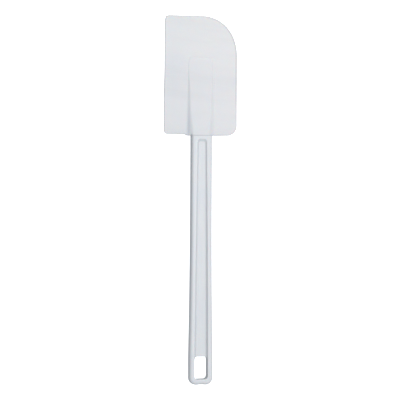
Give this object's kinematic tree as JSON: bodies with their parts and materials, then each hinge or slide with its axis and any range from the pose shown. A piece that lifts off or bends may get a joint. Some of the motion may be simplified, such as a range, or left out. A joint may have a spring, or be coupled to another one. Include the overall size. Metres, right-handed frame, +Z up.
{
  "type": "long-handled bowl scraper",
  "caption": "Long-handled bowl and plate scraper: flexible blade with one large swept corner, locked on the tang of a rigid I-section handle with a hang slot.",
  "frame": {"origin": "centre of the back face's bounding rectangle, on the surface that the scraper lies on", "axes": "+Y along the tool towards the blade's tip, +X across it towards the blade's large swept corner, +Z up through the thickness"},
  "size_m": [0.072, 0.3556, 0.0105],
  "materials": {
    "flexible_blade": "matte",
    "rigid_handle": "satin"
  },
  "bodies": {
    "root": {"blade": "flexible_blade", "handle": "rigid_handle"}
  },
  "joints": []
}
